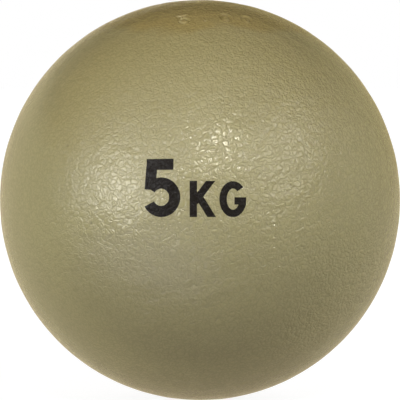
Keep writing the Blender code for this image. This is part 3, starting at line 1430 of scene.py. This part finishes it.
@dataclass(frozen=True)
class IronBall:
    """The cast iron ball with its bore, one closed turned surface from the drilled end to the foot."""

    relief: Relief
    bore: Bore
    spacing: float = 1.15 * MM
    fine_spacing: float = 0.16 * MM
    seam_reach: float = 0.9 * MM
    margin: float = 1.3 * MM
    droop: float = math.radians(2.2)
    column_edge: float = 0.04
    weight_edge: float = 0.008
    seam_edge: float = 0.004
    share: int = 5

    def columns(self) -> Array:
        """Space the columns, closer where they cross the struck weight.

        Returns:
            Their angles round the axis.
        """
        struck = self.relief.struck
        ring = self.relief.radius * math.cos(math.radians(struck.rise))
        half = (struck.half_length() + self.margin) / ring

        def step(turn: Array) -> Array:
            """The step between columns at an angle."""
            inside = window(turn, -half, half, self.column_edge)
            return self.spacing / self.relief.radius * (1 - inside) + self.fine_spacing / ring * inside

        return grid_lines(-np.pi, np.pi, step, self.share)[:-1] + math.radians(struck.bearing - 90.0)

    def rows(self) -> Array:
        """Space the rings, closer at the seam of the plug and at the struck weight.

        Returns:
            Their angles from the top.
        """
        struck = self.relief.struck
        rim = math.asin(self.bore.spot_radius / self.relief.radius)
        middle = math.radians(90.0 - struck.rise)
        reach = (struck.height / 2 + self.margin) / self.relief.radius
        seam = self.seam_reach / self.relief.radius

        def step(fall: Array) -> Array:
            """Choose the step between rings.

            Args:
                fall: angles from the top.

            Returns:
                The step at each of them.
            """
            at_weight = window(fall, middle - reach, middle + self.droop + reach, self.weight_edge)
            at_seam = window(fall, rim - 1.0, rim + seam, self.seam_edge)
            inside = np.minimum(at_weight + at_seam, 1.0)
            return (self.spacing * (1 - inside) + self.fine_spacing * inside) / self.relief.radius

        return grid_lines(rim, np.pi, step)[:-1]

    def build(self, material: Material) -> None:
        """Make the ball.

        Args:
            material: its enamel.
        """
        turn = self.columns()
        inner = self.bore.rings(turn[:: self.share])
        fall = self.rows()[:, None]
        sphere = turned_points(turn, np.sin(fall), np.cos(fall))
        outer = self.relief.points(np.concatenate([sphere, [[0.0, 0.0, -1.0]]]))
        few, many = len(inner[1]), len(turn)
        inside_rings = len(inner) - 1
        last_inside = 1 + (inside_rings - 1) * few
        first_outside = last_inside + few
        last_outside = first_outside + (len(fall) - 1) * many
        faces = fan_faces(0, 1, few, True)
        faces += ring_faces(1, inside_rings, few)
        faces += seam_faces(last_inside, few, first_outside, self.share)
        faces += ring_faces(first_outside, len(fall), many)
        faces += fan_faces(last_outside + many, last_outside, many, False)
        piece = new_piece("iron_ball", np.concatenate([*inner, outer]), faces, material)
        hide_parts("cast_body")


@dataclass(frozen=True)
class PuttyCap:
    """The putty over the plug: a dome rubbed down with the ball, and a hexagon that fills the socket."""

    relief: Relief
    radius: float
    floor: float
    stub_floor: float
    stub_corner: float
    stub_turn: float
    columns: int = 96
    rings: int = 12
    edge_step: float = 0.25 * MM
    clearance: float = 0.03 * MM
    sink: float = 0.03 * MM

    @classmethod
    def in_frame(cls, relief: Relief, bore: Bore, node: Object) -> PuttyCap:
        """Size the cap from the node that it stands for.

        Args:
            relief: the ball's surface.
            bore: the ball's bore.
            node: the CAD's cap, whose lowest points are the corners of its hexagon.

        Returns:
            The cap.
        """
        points = node_points(node)
        stub_floor = points[:, 2].min()
        lowest = points[:, 2] < stub_floor + 0.1 * MM
        corner = points[np.argmax(np.hypot(points[:, 0], points[:, 1]) * lowest)]
        return cls(
            relief=relief,
            radius=bore.spot_radius - cls.clearance,
            floor=bore.plug_top + bore.gap,
            stub_floor=float(stub_floor),
            stub_corner=float(np.hypot(corner[0], corner[1])),
            stub_turn=float(np.arctan2(corner[1], corner[0])),
        )

    def build(self, material: Material) -> None:
        """Make the cap, its top under the ball's surface by the sink, which fades to nothing at the rim.

        Args:
            material: its enamel.
        """
        turn = self.stub_turn + np.linspace(0.0, 2 * np.pi, self.columns, endpoint=False)
        inner = np.linspace(0.0, self.radius - 2 * self.edge_step, self.rings)[1:]
        outer = [self.radius - self.edge_step, self.radius]
        from_axis = np.append(inner, outer)[:, None] / self.relief.radius
        dome = turned_points(turn, from_axis, np.sqrt(1 - from_axis**2))
        dome = np.concatenate([[[0.0, 0.0, 1.0]], dome])
        share = np.hypot(dome[:, 0], dome[:, 1]) * self.relief.radius / self.radius
        top = self.relief.points(dome, self.sink * (share**4 - 1))
        rim = top[-self.columns :, :2]
        rim *= (self.radius / np.hypot(*rim.T))[:, None]
        fold = (turn - self.stub_turn) % (np.pi / 3) - np.pi / 6
        hexagon = self.stub_corner * math.cos(math.pi / 6) / np.cos(fold)
        low = [
            turned_points(turn, self.radius, self.floor),
            turned_points(turn, hexagon, self.floor),
            turned_points(turn, hexagon, self.stub_floor),
            np.array([[0.0, 0.0, self.stub_floor]]),
        ]
        rings = len(from_axis) + 3
        faces = fan_faces(0, 1, self.columns, True) + ring_faces(1, rings, self.columns)
        last = 1 + (rings - 1) * self.columns
        faces += fan_faces(last + self.columns, last, self.columns, False)
        piece = new_piece("putty_cap", np.concatenate([top, *low]), faces, material)
        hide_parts("plug_filler")


@dataclass(frozen=True)
class PrintedWeight:
    """The weight class in black ink, printed with a soft pad over the enamel: a figure and its unit."""

    relief: Relief
    bearing: float = -1.5
    rise: float = 6.3
    figure: Lettering = Lettering("5", 15.1 * MM, 2.9 * MM, 0.0)
    unit_name: Lettering = Lettering("KG", 9.3 * MM, 1.9 * MM, 1.6 * MM)
    space: float = 2.4 * MM
    thickness: float = 0.032 * MM
    depth: float = 0.07 * MM
    step_down: float = 0.002 * MM
    across: int = 9

    def strokes(self) -> list[Stroke]:
        """Draw the figure and its unit round the middle of their patch.

        Returns:
            All their strokes.
        """
        step = self.figure.width() + self.space
        left, foot = -(step + self.unit_name.width()) / 2, -self.figure.height / 2
        return self.figure.draw(left, foot) + self.unit_name.draw(left + step, foot)

    def build(self, material: Material) -> None:
        """Lay each stroke on the ball as a thin closed band that follows the enamel.

        A section of the band has points across its top, a film's thickness over the enamel, and two
        corners under it. Where bands cross, the later lies a little lower, so that no two tops meet.

        Args:
            material: the ink.
        """
        patch = Patch(self.bearing, self.rise, self.relief.radius)
        share = np.concatenate([np.linspace(-0.5, 0.5, self.across), [0.5, -0.5]])
        lift = np.concatenate([np.full(self.across, self.thickness), [-self.depth, -self.depth]])
        points, faces, first = [], [], 0
        for number, (middle, across) in enumerate(self.strokes()):
            flat = middle[:, None] + share[:, None] * across[:, None]
            out = patch.lay(flat.reshape(-1, 2))
            points.append(self.relief.points(out, np.tile(lift, len(middle)) - number * self.step_down))
            faces += tube_faces(first, len(middle), len(share))
            first += len(out)
        piece = new_piece("weight_print", np.concatenate(points), faces, material)


def dress_nodes(nodes: Mapping[str, Object]) -> None:
    """Give the CAD pieces inside the bore their finishes.

    Args:
        nodes: the frame's CAD nodes by name.
    """
    for name, finish in BORE_FINISHES.items():
        nodes[name].data.materials.clear()
        nodes[name].data.materials.append(finish.material())
        LOG.info("%s: finished as %s", name, finish.name)


def main() -> None:
    """Build the scene and report each piece."""
    logging.basicConfig(level=logging.INFO, format="%(message)s")
    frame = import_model()
    nodes = frame["nodes"]
    low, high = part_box("cast_body")
    radius = (high.x - low.x) / 2
    bore = Bore.in_frame()
    relief = Relief(radius, bore.spot_radius, StruckWeight(radius))
    enamel = ENAMEL.material(radius)
    IronBall(relief, bore).build(enamel)
    PuttyCap.in_frame(relief, bore, nodes["plug_filler"]).build(enamel)
    PrintedWeight(relief).build(INK.material(radius))
    dress_nodes(nodes)
    Studio(radius).build()


if __name__ == "__main__":
    main()
